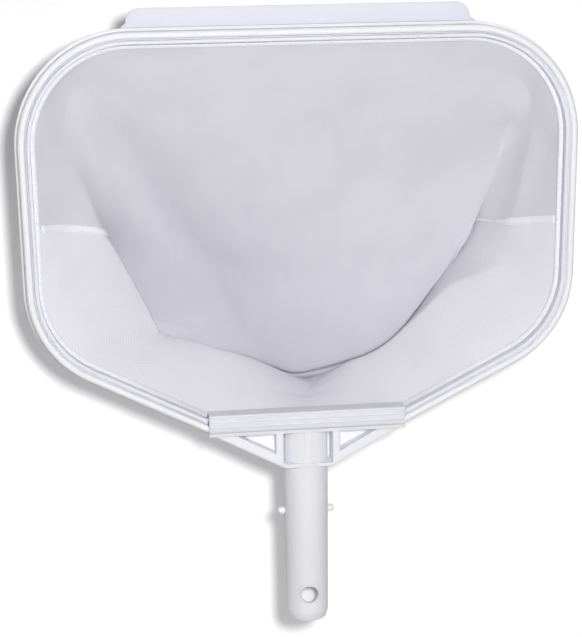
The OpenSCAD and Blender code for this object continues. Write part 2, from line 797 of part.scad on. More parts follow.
module side_seam_left() {
    color(thread_white)
        side_seam(len(front_grid[0]) - 1, 0);
}

// The bottom seam is a tape that lies along the floor, over the gap between the panels
tape_steps = 12;
module bottom_seam() {
    shares = [for (i = [0:tape_steps]) (2 * i / tape_steps - 1) * floor_tape_w / floor_w];
    function edge_at(share, side) = let (p = bottom(share, side)) [p.x, p.y];
    color(thread_white)
        translate([0, 0, floor_z + net_t + sew_gap])
            linear_extrude(seam_t)
                polygon(concat([for (share = shares) edge_at(share, -seam_w / 2)],
                    [for (i = [tape_steps:-1:0]) edge_at(shares[i], seam_w / 2)]));
}

// The clip's bend, with a fork and a pin at each end
module clip_bend() {
    color(plastic_cool)
        along_spigot() {
            translate([0, 0, bend_y])
                rotate([90, 0, 0])
                    intersection() {
                        difference() {
                            cylinder(h = clip_w, r = bend_r + clip_t / 2, center = true);
                            cylinder(h = clip_w + cut, r = bend_r - clip_t / 2, center = true);
                        }
                        translate([-2 * bend_r, 0, -clip_w])
                            cube([4 * bend_r, 2 * bend_r, 2 * clip_w]);
                    }
            for (x = [-bend_r, bend_r])
                translate([x, 0, knuckle_y])
                    rotate([90, 0, 0]) {
                        cylinder(h = clip_w, d = pin_d, center = true);
                        for (side = [0, 1])
                            mirror([0, 0, side])
                                translate([0, 0, clip_w / 2 - leaf_w]) {
                                    cylinder(h = leaf_w, d = knuckle_d);
                                    translate([-clip_t / 2, 0, 0])
                                        cube([clip_t, bend_y - knuckle_y + fit, leaf_w]);
                                }
                    }
        }
}

// One arm of the clip with its button, on the right side
module button_arm() {
    tip_x = spigot_r + button_out;
    nose_x = tip_x - button_d / 2;
    along_spigot() {
        // Eye on the clip's pin, and the strip that springs the button out
        translate([bend_r, 0, knuckle_y])
            rotate([0, 180 - arm_lean, 0])
                difference() {
                    union() {
                        rotate([90, 0, 0])
                            cylinder(h = leaf_w, d = knuckle_d, center = true);
                        translate([-clip_t / 2, -leaf_w / 2, 0])
                            cube([clip_t, leaf_w, knuckle_d + clip_t]);
                        translate([-clip_t / 2, -clip_w / 2, knuckle_d / 2 + 2 * hem_gap])
                            cube([clip_t, clip_w, arm_len + button_d - knuckle_d / 2 - 2 * hem_gap]);
                    }
                    rotate([90, 0, 0])
                        cylinder(h = clip_w + cut, d = pin_d + 2 * pin_fit, center = true);
                }
        translate([clip_x, 0, button_y])
            rotate([0, 90, 0])
                cylinder(h = nose_x - clip_x, d = button_d);
        translate([nose_x, 0, button_y])
            sphere(d = button_d);
    }
}

module button_arm_right() {
    color(plastic_cool)
        button_arm();
}

module button_arm_left() {
    color(plastic_cool)
        mirror([1, 0, 0])
            button_arm();
}

frame();
retaining_strip();
clamp_bar();
scoop_lip();
net_hem();
net_front_panel();
net_rear_panel();
side_seam_left();
side_seam_right();
bottom_seam();
clip_bend();
button_arm_left();
button_arm_right();
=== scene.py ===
"""Pool leaf skimmer head: a moulded hoop and spigot from the CAD frame, with its net bag made here."""

import math

import bmesh
import bpy
import numpy as np
from mathutils import Matrix, Vector, noise


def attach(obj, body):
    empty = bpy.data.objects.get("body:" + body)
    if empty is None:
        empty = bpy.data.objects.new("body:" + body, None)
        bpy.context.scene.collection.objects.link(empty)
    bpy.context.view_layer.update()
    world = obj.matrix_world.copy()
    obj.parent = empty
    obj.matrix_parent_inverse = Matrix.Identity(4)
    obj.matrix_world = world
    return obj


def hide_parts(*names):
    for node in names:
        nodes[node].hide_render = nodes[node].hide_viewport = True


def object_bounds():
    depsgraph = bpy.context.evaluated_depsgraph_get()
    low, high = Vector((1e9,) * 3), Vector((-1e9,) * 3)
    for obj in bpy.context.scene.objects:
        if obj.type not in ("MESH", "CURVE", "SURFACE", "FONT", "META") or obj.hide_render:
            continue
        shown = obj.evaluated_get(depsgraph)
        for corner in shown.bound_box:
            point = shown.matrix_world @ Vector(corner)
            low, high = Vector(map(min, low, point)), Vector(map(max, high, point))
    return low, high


MM = 0.001

# ---------------------------------------------------------------------------------------------
# Sizes in millimetres, in the part's own frame: +Z out of the mouth, +Y to the scoop lip
# ---------------------------------------------------------------------------------------------

# The hoop's outline. Its sides open towards the front, and its rear beams slant, by these degrees
HOOP_W = 347
HOOP_LEN = 276
FRONT_R = 69
REAR_R = 65
SIDE_LEAN = 0.9
BEAM_ANGLE = 26.8
SPIGOT_D = 28.6
# The yoke's half width where the strip ends, its top, and where the net runs along its clamp bar
YOKE_X = 63.5
YOKE_TOP = 13.0
BAR_Y = 34.4

# The ledge, and how far in from the outline the net hangs and its folded hem starts and ends
LEDGE_Z = 2.9
NET_IN = 9.0
HEM_FROM = 4.9
HEM_TO = 10.6
# The room for the hem under the strip, and the play it leaves above and below
HEM_T = 1.0
HEM_PLAY = 0.05
HEM_LOW = LEDGE_Z + HEM_PLAY
HEM_THICK = HEM_T - 2 * HEM_PLAY
# The hem behind the clamp bar: how far behind the net's edge it starts, and its thickness
BAR_HEM_BACK = 0.4
BAR_HEM_T = 0.85
BAR_HEM_POINTS = 40
# The net's own edge, which stands outside the strip
SELVAGE_IN = 4.55
SELVAGE_T = 0.65
SELVAGE_H = 5.6

# The bag's bottom, where a bowed seam joins the panels, and the flat strips beside that seam
BOTTOM_Z = -101.1
BOTTOM_HALF = 86
BOTTOM_Y = 64
BOTTOM_BOW = 26
FLAT_W = 4.0
# How late the flat strips run into the seam at its ends
FLAT_POWER = 16

# Sewn tapes and thread
TAPE_W = 5.0
TAPE_T = 0.5
TAPE_LIFT = 0.45
THREAD_D = 0.35
STITCH_LEN = 2.4
STITCH_STEP = 3.4
# How far in from the hem's inner edge its stitches run
HEM_STITCH_IN = 1.0
# Shares of a tape's width: how far in its stitches run, and what is left of it below the fold
STITCH_IN = 0.2
FOLDED_SHARE = 0.35
# The bottom seam's tape covers this share of it
FLOOR_TAPE_SHARE = 0.79
FLOOR_TAPE_POINTS = 60


# ---------------------------------------------------------------------------------------------
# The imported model
# ---------------------------------------------------------------------------------------------

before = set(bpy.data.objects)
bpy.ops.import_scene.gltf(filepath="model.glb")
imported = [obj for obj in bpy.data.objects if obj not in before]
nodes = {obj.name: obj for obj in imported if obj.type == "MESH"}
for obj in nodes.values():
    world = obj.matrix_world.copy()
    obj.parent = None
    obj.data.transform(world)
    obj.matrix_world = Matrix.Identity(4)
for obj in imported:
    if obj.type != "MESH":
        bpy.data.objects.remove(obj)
cad_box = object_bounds()


def place(x, y, z):
    """A point given in millimetres, in metres."""
    return Vector((x, y, z)) * MM


# ---------------------------------------------------------------------------------------------
# Camera, floor and light
# ---------------------------------------------------------------------------------------------

# The render's height and the lens's focal length, in pixels, and the sensor's height
FRAME_HEIGHT = 637
FOCAL_PIXELS = 1800
SENSOR_MM = 36
# The camera's place, its turn in degrees, and how far it sees, in metres
CAMERA_AT = (-152.5, 346.2, 1098.5)
CAMERA_TURN = (-12.71, -7.685, -0.824)
SIGHT_END = 10

# A lamp beside the camera, so that the shadow keeps close to the object
KEY_AT = (-56, 401.6, 1098.5)
KEY_WIDTH = 95
KEY_LEVEL = 0.84
# A wide one over the spigot, which evens out the light from end to end
FILL_AT = (0, -620, 1000)
FILL_WIDTH = 900
FILL_LEVEL = 0.16
ROOM_LEVEL = 0.1

# The table: half its width, how far it lies under the bag, and its grain, drawn coarse so that it shows
FLOOR_HALF = 1400
FLOOR_GAP = 0.2
FLOOR_GRAIN = 16.7
# Plain white that is added to the table as it is seen, near the point below the lamp and far from it
FLOOR_LIFT = 0.05
FLOOR_LIFT_FAR = 0.34
FLOOR_NEAR = 180
FLOOR_FAR = 700


def make_camera():
    data = bpy.data.cameras.new("camera")
    data.sensor_fit = "VERTICAL"
    data.sensor_height = SENSOR_MM
    data.lens = FOCAL_PIXELS / FRAME_HEIGHT * SENSOR_MM
    data.clip_end = SIGHT_END
    camera = bpy.data.objects.new("camera", data)
    camera.location = place(*CAMERA_AT)
    camera.rotation_euler = [math.radians(angle) for angle in CAMERA_TURN]
    bpy.context.scene.collection.objects.link(camera)
    bpy.context.scene.camera = camera


def make_lamp(name, at, width, level):
    """A disk lamp. White that faces it at the origin renders at this level."""
    data = bpy.data.lights.new(name, "AREA")
    data.shape = "DISK"
    data.size = width * MM
    away = Vector(at).length * MM
    data.energy = level * math.pi * math.pi * away**2
    lamp = bpy.data.objects.new(name, data)
    lamp.location = place(*at)
    middle = place(0, HOOP_LEN / 2, 0)
    lamp.rotation_euler = (lamp.location - middle).to_track_quat("Z", "Y").to_euler()
    bpy.context.scene.collection.objects.link(lamp)


# ---------------------------------------------------------------------------------------------
# Materials
# ---------------------------------------------------------------------------------------------

# Typical values: polypropylene, polyethylene and acetal lie near the first, polyester at the second
PLASTIC_IOR = 1.49
POLYESTER_IOR = 1.57
# How deep the materials' fine relief is, and how far light goes into the plastic, in mm
RELIEF = 0.2
LIGHT_DEPTH = 4
# The plastic's patterns: flow marks from the way the mould filled, and the mould's fine grain. The
# real grain is about a tenth of a millimetre, and is drawn coarser so that it shows
FLOW_SIZE = 35.7
GRAIN_SIZE = 0.714
# How the flow marks change the roughness
FLOW_SHINE = (-0.06, 0.08)
# The net's soft patches, where its yarns lie closer or further apart
PATCH_SIZE = 33.3
# How light the weave is between its yarns and on them, how much the patches add, and the range
# of both that runs from the darker colour to the lighter one
WEAVE_TONES = (0.2, 0.8)
PATCH_TONE = 0.45
TONE_RANGE = (0.32, 1.13)
# How far below the hem the net's painted light and shade runs from its hem tone to its lower tone, in mm
PAINTED_SHADE_DEPTH = 110
# How many diagonal bands a wave texture of scale 1 has in a length of 1 straight across them
WAVE_BANDS = 10 * math.sqrt(3) / (2 * math.pi)


def colour(text):
    """An sRGB hex value, turned to linear."""
    values = [int(text[i : i + 2], 16) / 255 for i in (1, 3, 5)]
    linear = [v / 12.92 if v <= 0.04045 else ((v + 0.055) / 1.055) ** 2.4 for v in values]
    return (*linear, 1)


def add(tree, kind, links=None, values=None, **settings):
    """Adds a node with its settings, the values of its sockets and the sockets that feed it."""
    made = tree.nodes.new(kind)
    for name, value in settings.items():
        setattr(made, name, value)
    for name, value in (values or {}).items():
        made.inputs[name].default_value = value
    for name, source in (links or {}).items():
        tree.links.new(source, made.inputs[name])
    return made


def per_metre(size):
    """The scale of a texture that repeats at this size in millimetres."""
    return 1 / (size * MM)


def new_tree(name):
    made = bpy.data.materials.new(name)
    made.use_nodes = True
    made.node_tree.nodes.clear()
    return made, made.node_tree


def moulded_plastic(name, low, high, rough, gloss=0.25):
    """White plastic, injection moulded: a satin skin with the mould's grain and faint flow marks.
    Light goes a little way into it, which fills its narrow grooves."""
    made, tree = new_tree(name)
    at = add(tree, "ShaderNodeTexCoord").outputs["Object"]
    flow = add(
        tree, "ShaderNodeTexNoise", {"Vector": at}, {"Scale": per_metre(FLOW_SIZE), "Detail": 3.0}
    ).outputs["Fac"]
    tint = add(
        tree,
        "ShaderNodeMix",
        {"Factor": flow},
        {"A": colour(low), "B": colour(high)},
        data_type="RGBA",
    )
    grain = add(
        tree, "ShaderNodeTexNoise", {"Vector": at}, {"Scale": per_metre(GRAIN_SIZE), "Detail": 2.0}
    ).outputs["Fac"]
    shine = add(
        tree,
        "ShaderNodeMapRange",
        {"Value": flow},
        {"To Min": rough + FLOW_SHINE[0], "To Max": rough + FLOW_SHINE[1]},
    )
    bump = add(
        tree,
        "ShaderNodeBump",
        {"Height": grain},
        {"Strength": 0.12, "Distance": RELIEF * MM},
    )
    shader = add(
        tree,
        "ShaderNodeBsdfPrincipled",
        {
            "Base Color": tint.outputs["Result"],
            "Roughness": shine.outputs["Result"],
            "Normal": bump.outputs["Normal"],
        },
        {
            "IOR": PLASTIC_IOR,
            "Specular IOR Level": gloss,
            "Subsurface Weight": 0.8,
            "Subsurface Radius": (1.0, 1.0, 1.0),
            "Subsurface Scale": LIGHT_DEPTH * MM,
        },
    )
    add(tree, "ShaderNodeOutputMaterial", {"Surface": shader.outputs["BSDF"]})
    return made


def woven_mesh(name, low, high, pitch, open_share, glow_share, painted_shade_tones):
    """Fine polyester mesh, woven: matt white yarn that lets some light through and a little sight.
    pitch is the weave's, in mm, and painted_shade_tones the painted light and shade down the cloth: its
    brightness at the hem and at PAINTED_SHADE_DEPTH below it."""
    made, tree = new_tree(name)
    cloth = add(tree, "ShaderNodeUVMap", uv_map="cloth").outputs["UV"]
    sides = add(tree, "ShaderNodeSeparateXYZ", {"Vector": cloth})
    yarns = []
    for side in ("X", "Y"):
        turn = add(
            tree,
            "ShaderNodeMath",
            {0: sides.outputs[side]},
            {1: 2 * math.pi / pitch},
            operation="MULTIPLY",
        )
        yarns.append(
            add(tree, "ShaderNodeMath", {0: turn.outputs[0]}, operation="COSINE").outputs[0]
        )
    weave = add(
        tree, "ShaderNodeMath", {0: yarns[0], 1: yarns[1]}, operation="MULTIPLY"
    ).outputs[0]
    patches = add(
        tree, "ShaderNodeTexNoise", {"Vector": cloth}, {"Scale": 1 / PATCH_SIZE, "Detail": 3.0}
    ).outputs["Fac"]
    shade = add(
        tree,
        "ShaderNodeMapRange",
        {"Value": weave},
        {"From Min": -1.0, "To Min": WEAVE_TONES[0], "To Max": WEAVE_TONES[1]},
    )
    mixed = add(
        tree,
        "ShaderNodeMath",
        {0: patches, 2: shade.outputs["Result"]},
        {1: PATCH_TONE},
        operation="MULTIPLY_ADD",
    )
    share = add(
        tree,
        "ShaderNodeMapRange",
        {"Value": mixed.outputs[0]},
        {"From Min": TONE_RANGE[0], "From Max": TONE_RANGE[1]},
    )
    tint = add(
        tree,
        "ShaderNodeMix",
        {"Factor": share.outputs["Result"]},
        {"A": colour(low), "B": colour(high)},
        data_type="RGBA",
    ).outputs["Result"]
    # Painted light and shade: the colour is scaled from one tone at the hem to another
    # PAINTED_SHADE_DEPTH below it
    painted_shade = add(
        tree,
        "ShaderNodeMapRange",
        {"Value": sides.outputs["Y"]},
        {"From Max": PAINTED_SHADE_DEPTH, "To Min": painted_shade_tones[0], "To Max": painted_shade_tones[1]},
    ).outputs["Result"]
    tint = add(
        tree, "ShaderNodeVectorMath", {0: tint, "Scale": painted_shade}, operation="SCALE"
    ).outputs["Vector"]
    bump = add(
        tree, "ShaderNodeBump", {"Height": weave}, {"Strength": 0.25, "Distance": RELIEF * MM}
    ).outputs["Normal"]
    yarn = add(
        tree,
        "ShaderNodeBsdfPrincipled",
        {"Base Color": tint, "Normal": bump},
        {
            "Roughness": 0.75,
            "IOR": POLYESTER_IOR,
            "Specular IOR Level": 0.3,
            "Sheen Weight": 0.15,
        },
    )
    glow = add(tree, "ShaderNodeBsdfTranslucent", {"Color": tint})
    cloth_shader = add(
        tree,
        "ShaderNodeMixShader",
        {1: yarn.outputs["BSDF"], 2: glow.outputs["BSDF"]},
        {0: glow_share},
    )
    gaps = add(tree, "ShaderNodeBsdfTransparent")
    whole = add(
        tree,
        "ShaderNodeMixShader",
        {1: cloth_shader.outputs[0], 2: gaps.outputs[0]},
        {0: open_share},
    )
    add(tree, "ShaderNodeOutputMaterial", {"Surface": whole.outputs[0]})
    return made


def woven_tape(name, low, high, pitch):
    """Polyester cloth in a narrow strip: dense and matt, with ribs across it, pitch mm apart."""
    made, tree = new_tree(name)
    cloth = add(tree, "ShaderNodeUVMap", uv_map="cloth").outputs["UV"]
    sides = add(tree, "ShaderNodeSeparateXYZ", {"Vector": cloth})
    turn = add(
        tree,
        "ShaderNodeMath",
        {0: sides.outputs["Y"]},
        {1: 2 * math.pi / pitch},
        operation="MULTIPLY",
    )
    ribs = add(tree, "ShaderNodeMath", {0: turn.outputs[0]}, operation="COSINE").outputs[0]
    share = add(tree, "ShaderNodeMapRange", {"Value": ribs}, {"From Min": -1.0})
    tint = add(
        tree,
        "ShaderNodeMix",
        {"Factor": share.outputs["Result"]},
        {"A": colour(low), "B": colour(high)},
        data_type="RGBA",
    ).outputs["Result"]
    bump = add(
        tree, "ShaderNodeBump", {"Height": ribs}, {"Strength": 0.3, "Distance": RELIEF * MM}
    ).outputs["Normal"]
    shader = add(
        tree,
        "ShaderNodeBsdfPrincipled",
        {"Base Color": tint, "Normal": bump},
        {"Roughness": 0.7, "IOR": POLYESTER_IOR, "Specular IOR Level": 0.3},
    )
    add(tree, "ShaderNodeOutputMaterial", {"Surface": shader.outputs["BSDF"]})
    return made


def twisted_thread(name, low, high, twist):
    """Polyester sewing thread, twisted: matt, with slanting light and dark turns, twist mm apart."""
    made, tree = new_tree(name)
    at = add(tree, "ShaderNodeTexCoord").outputs["Object"]
    turns = add(
        tree,
        "ShaderNodeTexWave",
        {"Vector": at},
        {"Scale": per_metre(twist) / WAVE_BANDS, "Distortion": 0.5},
        bands_direction="DIAGONAL",
    ).outputs["Fac"]
    tint = add(
        tree,
        "ShaderNodeMix",
        {"Factor": turns},
        {"A": colour(low), "B": colour(high)},
        data_type="RGBA",
    )
    shader = add(
        tree,
        "ShaderNodeBsdfPrincipled",
        {"Base Color": tint.outputs["Result"]},
        {"Roughness": 0.7, "IOR": POLYESTER_IOR, "Specular IOR Level": 0.1},
    )
    add(tree, "ShaderNodeOutputMaterial", {"Surface": shader.outputs["BSDF"]})
    return made


def seen_white(tree, shader, strength):
    """Adds plain white to what camera, glossy and transmitted rays see of a surface."""
    path = add(tree, "ShaderNodeLightPath")
    seen = path.outputs["Is Camera Ray"]
    for ray in ("Is Glossy Ray", "Is Transmission Ray"):
        seen = add(
            tree, "ShaderNodeMath", {0: seen, 1: path.outputs[ray]}, operation="MAXIMUM"
        ).outputs[0]
    white = add(tree, "ShaderNodeEmission", {"Strength": strength})
    both = add(tree, "ShaderNodeAddShader", {0: shader, 1: white.outputs[0]})
    return add(
        tree, "ShaderNodeMixShader", {0: seen, 1: shader, 2: both.outputs[0]}
    ).outputs[0]


def painted_floor():
    """Matt white paint on the table: no highlights, and a barely seen grain."""
    made, tree = new_tree("table_paint")
    at = add(tree, "ShaderNodeTexCoord").outputs["Object"]
    grain = add(
        tree, "ShaderNodeTexNoise", {"Vector": at}, {"Scale": per_metre(FLOOR_GRAIN)}
    ).outputs["Fac"]
    tint = add(
        tree,
        "ShaderNodeMix",
        {"Factor": grain},
        {"A": colour("#fbfbfb"), "B": colour("#ffffff")},
        data_type="RGBA",
    )
    shader = add(tree, "ShaderNodeBsdfDiffuse", {"Color": tint.outputs["Result"]})
    away = add(tree, "ShaderNodeVectorMath", {0: at}, operation="LENGTH").outputs["Value"]
    lift = add(
        tree,
        "ShaderNodeMapRange",
        {"Value": away},
        {
            "From Min": FLOOR_NEAR * MM,
            "From Max": FLOOR_FAR * MM,
            "To Min": FLOOR_LIFT,
            "To Max": FLOOR_LIFT_FAR,
        },
    ).outputs["Result"]
    add(
        tree,
        "ShaderNodeOutputMaterial",
        {"Surface": seen_white(tree, shader.outputs[0], lift)},
    )
    return made


def make_floor():
    """The table that the bag's underside rests on."""
    low = cad_box[0].z - FLOOR_GAP * MM
    half = FLOOR_HALF * MM
    mesh = bpy.data.meshes.new("floor")
    mesh.from_pydata(
        [(-half, -half, low), (half, -half, low), (half, half, low), (-half, half, low)],
        [],
        [(0, 1, 2, 3)],
    )
    floor = bpy.data.objects.new("floor", mesh)
    middle = place(KEY_AT[0], KEY_AT[1], 0)
    mesh.transform(Matrix.Translation(-middle))
    floor.location = middle
    mesh.materials.append(painted_floor())
    bpy.context.scene.collection.objects.link(floor)


def make_room():
    """Even white light from all round, which the camera sees as white."""
    world = bpy.data.worlds.new("room")
    world.use_nodes = True
    bpy.context.scene.world = world
    tree = world.node_tree
    tree.nodes.clear()
    path = add(tree, "ShaderNodeLightPath")
    dim = add(tree, "ShaderNodeBackground", values={"Strength": ROOM_LEVEL})
    white = add(tree, "ShaderNodeBackground", values={"Strength": 1.0})
    mixed = add(
        tree,
        "ShaderNodeMixShader",
        {0: path.outputs["Is Camera Ray"], 1: dim.outputs[0], 2: white.outputs[0]},
    )
    add(tree, "ShaderNodeOutputWorld", {"Surface": mixed.outputs[0]})


make_camera()
make_lamp("key", KEY_AT, KEY_WIDTH, KEY_LEVEL)
make_lamp("fill", FILL_AT, FILL_WIDTH, FILL_LEVEL)
make_room()
make_floor()
bpy.context.scene.view_settings.view_transform = "Standard"

# Polypropylene, injection moulded: a soft satin white, slightly cool, with wide faint highlights
FRAME_PLASTIC = moulded_plastic("polypropylene_moulded", "#ededf4", "#f2f2f8", 0.55)
# Polyethylene, injection moulded: waxier than the frame, with almost no highlight. It is greyer than the
# frame, partly in its own colour and partly as painted shade that offsets the lamp's stronger light on
# the lip
LIP_PLASTIC = moulded_plastic("polyethylene_moulded", "#d9dae6", "#dddeea", 0.8, 0.1)
# Polypropylene, injection moulded and smoother: the strip's and the bar's, a little greyer and
# tighter in its highlights than the frame's
STRIP_PLASTIC = moulded_plastic("polypropylene_moulded_smooth", "#e3e3ec", "#e9e9f1", 0.5)
# Acetal, injection moulded: harder and smoother than the frame, so brighter and glossier
CLIP_PLASTIC = moulded_plastic("acetal_moulded", "#f2f2f3", "#f8f8f9", 0.35, 0.5)
# Polyester mesh, woven: matt and faintly patchy. Its yarns are finer than half a millimetre, and its
# weave is drawn wider so that it shows, like those of the tapes below
# Painted shade on the front net: darker near its hem, where the lamp beside the camera lights it most,
# and at its full colour lower down
FRONT_NET = woven_mesh("polyester_mesh_woven", "#dedde8", "#f3f2f8", 1.6, 0.04, 0.3, (0.9, 1.0))
# The same mesh, doubled: less to see through. Painted light and shade: brighter at its hem and darker
# deeper in the bag, where shade falls
REAR_NET = woven_mesh("polyester_mesh_doubled", "#dedde8", "#f3f2f8", 1.6, 0.02, 0.3, (1.08, 0.9))
# Polyester tape, woven: whiter and denser than the net, with fine ribs across it
TAPE = woven_tape("polyester_tape_woven", "#e4e3eb", "#f1f0f6", 1.1)
# The net's own mesh, folded over at its hem: even and dense, with hardly any ribs
NET_TAPE = woven_tape("polyester_mesh_folded", "#e2e1ea", "#e7e6ee", 1.5)
# Polyester sewing thread, twisted: a shade darker than the tape, so its stitches show
THREAD = twisted_thread("polyester_thread_twisted", "#dcdce5", "#e8e8ee", 0.69)

# ---------------------------------------------------------------------------------------------
# The rim's outline
# ---------------------------------------------------------------------------------------------

# How far apart the rim's points are round its bends, at most
RIM_STEP = 1.5
# How many places of a line are tried when the nearest one is looked for
PLACES_TRIED = 4000


def facing(angle):
    """The way that an angle in degrees points."""
    turn = math.radians(angle)
    return np.array([math.cos(turn), math.sin(turn)])


def corner(line_a, line_b):
    """Where two lines meet, each given as its outward angle and its distance along that."""
    normals = np.array([facing(line_a[0]), facing(line_b[0])])
    return np.linalg.solve(normals, [line_a[1], line_b[1]])


def beam_side(inset):
    """The right beam's line, as its outward angle and its distance along that."""
    angle = BEAM_ANGLE - 90
    return (angle, facing(angle) @ [SPIGOT_D / 2, 0] - inset)


def rim_half(inset):
    """Points along the right half of the rim, from the middle of the front to the middle of the bar."""
    front_c = np.array([HOOP_W / 2 - FRONT_R, HOOP_LEN - FRONT_R])
    side = (-SIDE_LEAN, facing(-SIDE_LEAN) @ front_c + FRONT_R - inset)
    beam = beam_side(inset)
    rear_c = corner((side[0], side[1] - REAR_R + inset), (beam[0], beam[1] - REAR_R + inset))
    bar_y = BAR_Y + inset - NET_IN
    bar_end = corner(beam, (90, bar_y))
    arcs = [
        (front_c, FRONT_R - inset, 90, side[0]),
        (rear_c, REAR_R - inset, side[0], beam[0]),
    ]
    points = [np.array([0, HOOP_LEN - inset])]
    for centre, radius, start, end in arcs:
        count = math.ceil(math.radians(start - end) * REAR_R / RIM_STEP)
        points += [
            centre + radius * facing(start + (end - start) * i / count)
            for i in range(count + 1)
        ]
    points += [bar_end, np.array([0, bar_y])]
    return np.array(points)


def line_length(points):
    return np.linalg.norm(np.diff(points, axis=0), axis=1).sum()


def lengths_of(points):
    """How far along a line of points each of them is."""
    return np.r_[0, np.cumsum(np.linalg.norm(np.diff(points, axis=0), axis=1))]


def between(places, known, points):
    """The points at these places, read off between points whose places are known."""
    return np.stack([np.interp(places, known, points[:, i]) for i in range(points.shape[1])], -1)


def along(points, places):
    """The points at these lengths along a line of points."""
    return between(places, lengths_of(points), points)


def length_at(points, near):
    """How far along a line of points its nearest place to near is."""
    dense_at = np.linspace(0, line_length(points), PLACES_TRIED)
    dense = along(points, dense_at)
    return dense_at[np.argmin(np.linalg.norm(dense - near, axis=1))]


def rim_loop(inset):
    """The whole rim, from the middle of the front round the right side and back up the left."""
    half = rim_half(inset)
    return np.concatenate([half, (half * [-1, 1])[::-1][1:]])


# ---------------------------------------------------------------------------------------------
# The bag: each panel is a sheet drawn through its main lines, from the hem to the bottom seam
# ---------------------------------------------------------------------------------------------

# Columns of points from each of a panel's stations to the next, and rows from each line to the next
PER_SPAN = 10
PER_ROW = 8
# The row of the fold inside the rim, which is the panels' third line
FOLD_ROW = 2 * PER_ROW
# How far below the ledge the panels start
EDGE_DROP = 0.1
# How round the panels bend over each of their lines, from the hem down: 1 is round, 0 a sharp corner
FRONT_BENDS = [1, 0.9, 0.35, 0.8, 0.8, 0.9, 1, 1, 0.45, 0.8, 0.3, 1]
REAR_BENDS = [1, 0.9, 0.3, 0.9, 0.9, 0.7, 0.3, 1]
# The rear panel's station at the notch behind the clamp bar, how many of its lines turn a corner
# there, and how round that corner is
REAR_NOTCH = 8
NOTCH_LINES = 3
NOTCH_BEND = 0.25
# How many columns ease each side of a panel onto its seam
EDGE_COLUMNS = 8
# Where the front panel is evened out, how many times, and over how many points that fades out
EVEN_ROWS = (24, 74)
EVEN_COLUMNS = (8, 112)
EVEN_TIMES = 40
EVEN_FADE = 10
# The height and the size of each panel's small dents, in mm
FRONT_DENTS = (0.4, 38)
REAR_DENTS = (0.45, 26)
# Over what share of a panel's rows and of its columns they fade out towards its edges
DENT_FADE = (0.08, 0.04)
# How smooth the dents are, how much finer each layer of them is than the last, and how many there are
DENT_LAYERS = (0.6, 2.0, 3)
# Creases in the rear panel's ledge: a line of points, the depth and the width of each
REAR_CREASES = [
    ([(-19.4, 43.7, -16), (-0.6, 40.1, -16), (19.1, 39.7, -16), (32.2, 41.1, -16)], -0.9, 3.5),
    ([(-87.3, 82.3, -26), (-108.4, 90.5, -20), (-129.2, 97.3, -14)], -1.0, 5),
    ([(40.7, 92, -25), (77, 95, -25), (117.8, 99.4, -15), (139.2, 101.3, -8)], 0.8, 6),
]
# Steps from each point to the next along a crease and along a side seam
CREASE_STEPS = 12
SEAM_STEPS = 24
# Keeps a normal of no length from dividing by nothing
TINY = 1e-9


def bottom(share, side=0):
    """The bottom seam, from -1 at its left end to 1, or a line beside it that joins it at its ends."""
    beside = side * (1 - abs(share) ** FLAT_POWER)
    return (BOTTOM_HALF * share, BOTTOM_Y - BOTTOM_BOW * (1 - share**2) + beside, BOTTOM_Z)


# Each side seam, from the hem over the fold and down to the bottom seam
SEAM_LEFT = [
    (-164, 157, 2.8), (-146, 155, -12), (-122, 149, -22.5), (-123.5, 134, -50), (-126, 118, -80),
    (-117, 103, -89.5), (-108, 90, -96), (-101, 82, -98.5), (-95.4, 76.7, -100), (-91, 70, -100.5),
    (-88.5, 67, -101), bottom(-1),
]
SEAM_RIGHT = [
    (164, 152, 2.8), (152, 149.5, -10), (139, 147, -22), (131, 145, -37), (123.8, 143.8, -50),
    (121, 133, -62), (114, 119, -76), (107, 103, -86), (100.6, 86, -94.5), (93, 75, -98.5),
    (89.5, 69.5, -100.5), bottom(1),
]

# Where the hem's stations are, round the front from the left seam to the right one
FRONT_HEM = [
    (-164, 157), (-164, 184), (-165, 207), (-147, 250), (-104.5, 267), (-52, 267), (0, 267),
    (52, 267), (104.5, 267), (147, 250), (165, 207), (164, 186), (164, 168), (164, 152),
]
FRONT_SHARES = (-1, -0.8, -0.6, -0.4, -0.2, 0, 0.22, 0.43, 0.6, 0.74, 0.84, 0.91, 0.96, 1)
